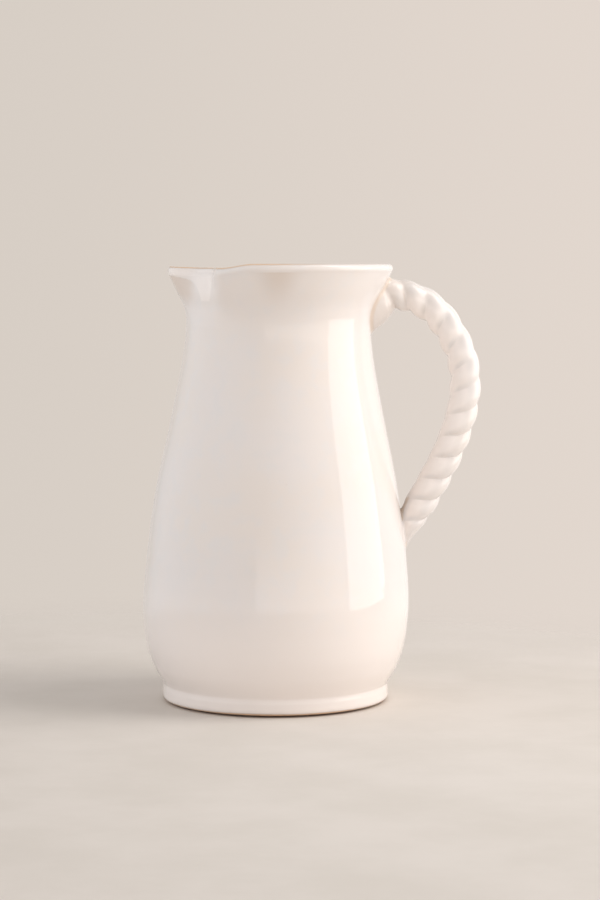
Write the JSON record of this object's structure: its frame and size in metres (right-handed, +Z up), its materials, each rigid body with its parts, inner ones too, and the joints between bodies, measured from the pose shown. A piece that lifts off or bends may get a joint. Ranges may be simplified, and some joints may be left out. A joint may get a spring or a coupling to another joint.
{
  "type": "ceramic pitcher",
  "caption": "White glazed pear-shaped pitcher with a flared mouth, a pinched pouring lip, a stepped foot ring and a handle twisted like rope.",
  "frame": {"origin": "centre of the flat underside, on the surface that the pitcher stands on", "axes": "+Z up through the mouth, +X towards the handle, -X along the pouring lip, +Y to the side"},
  "size_m": [0.1968, 0.1552, 0.254],
  "materials": {
    "glaze_white": "thick glossy warm white glaze over pale clay",
    "glaze_rim": "the same glaze, breaking to a thin warm tan line along the edge of the mouth",
    "glaze_foot": "the same glaze, wiped back to bare tan clay at the lower corner and underneath"
  },
  "bodies": {
    "root": {"body": "glaze_white", "foot_ring": "glaze_foot", "pouring_lip": "glaze_white", "mouth_bead": "glaze_rim", "handle_coil_1": "glaze_white", "handle_coil_2": "glaze_white", "handle_upper_root": "glaze_white", "handle_lower_root": "glaze_white"}
  },
  "joints": []
}
